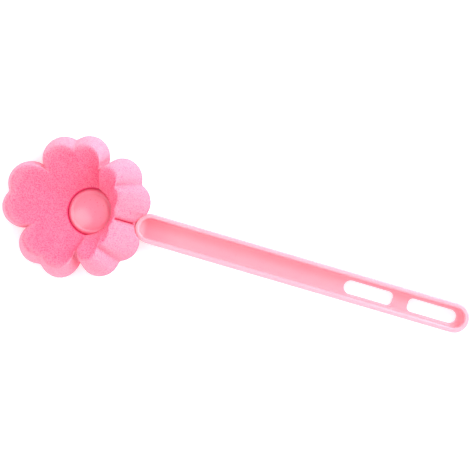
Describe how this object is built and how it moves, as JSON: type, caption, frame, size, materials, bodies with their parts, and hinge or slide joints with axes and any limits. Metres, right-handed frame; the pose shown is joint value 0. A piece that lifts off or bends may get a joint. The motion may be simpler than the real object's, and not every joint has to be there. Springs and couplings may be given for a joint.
{
  "type": "cup brush",
  "caption": "Long-handled cup washer: a flower-shaped foam sponge held by a domed button on a round-ended trough handle with hanging slots.",
  "frame": {"origin": "on the handle's flat back, straight below the centre of the button", "axes": "+X along the handle towards its hanging end, +Z out of the trough's open face and out of the button"},
  "size_m": [0.2459, 0.0744, 0.0257],
  "materials": {
    "handle_plastic": "satin",
    "sponge_foam": "matte",
    "button_plastic": "satin"
  },
  "bodies": {
    "handle": {"handle": "handle_plastic"},
    "sponge": {"sponge": "sponge_foam"},
    "button": {"button": "button_plastic"}
  },
  "joints": [
    {"name": "sponge_lift", "type": "slide", "parent": "handle", "child": "sponge", "axis": [0, 0, 1], "range_m": [0, 0.02]},
    {"name": "button_pull", "type": "slide", "parent": "sponge", "child": "button", "axis": [0, 0, 1], "range_m": [0, 0.03]}
  ]
}
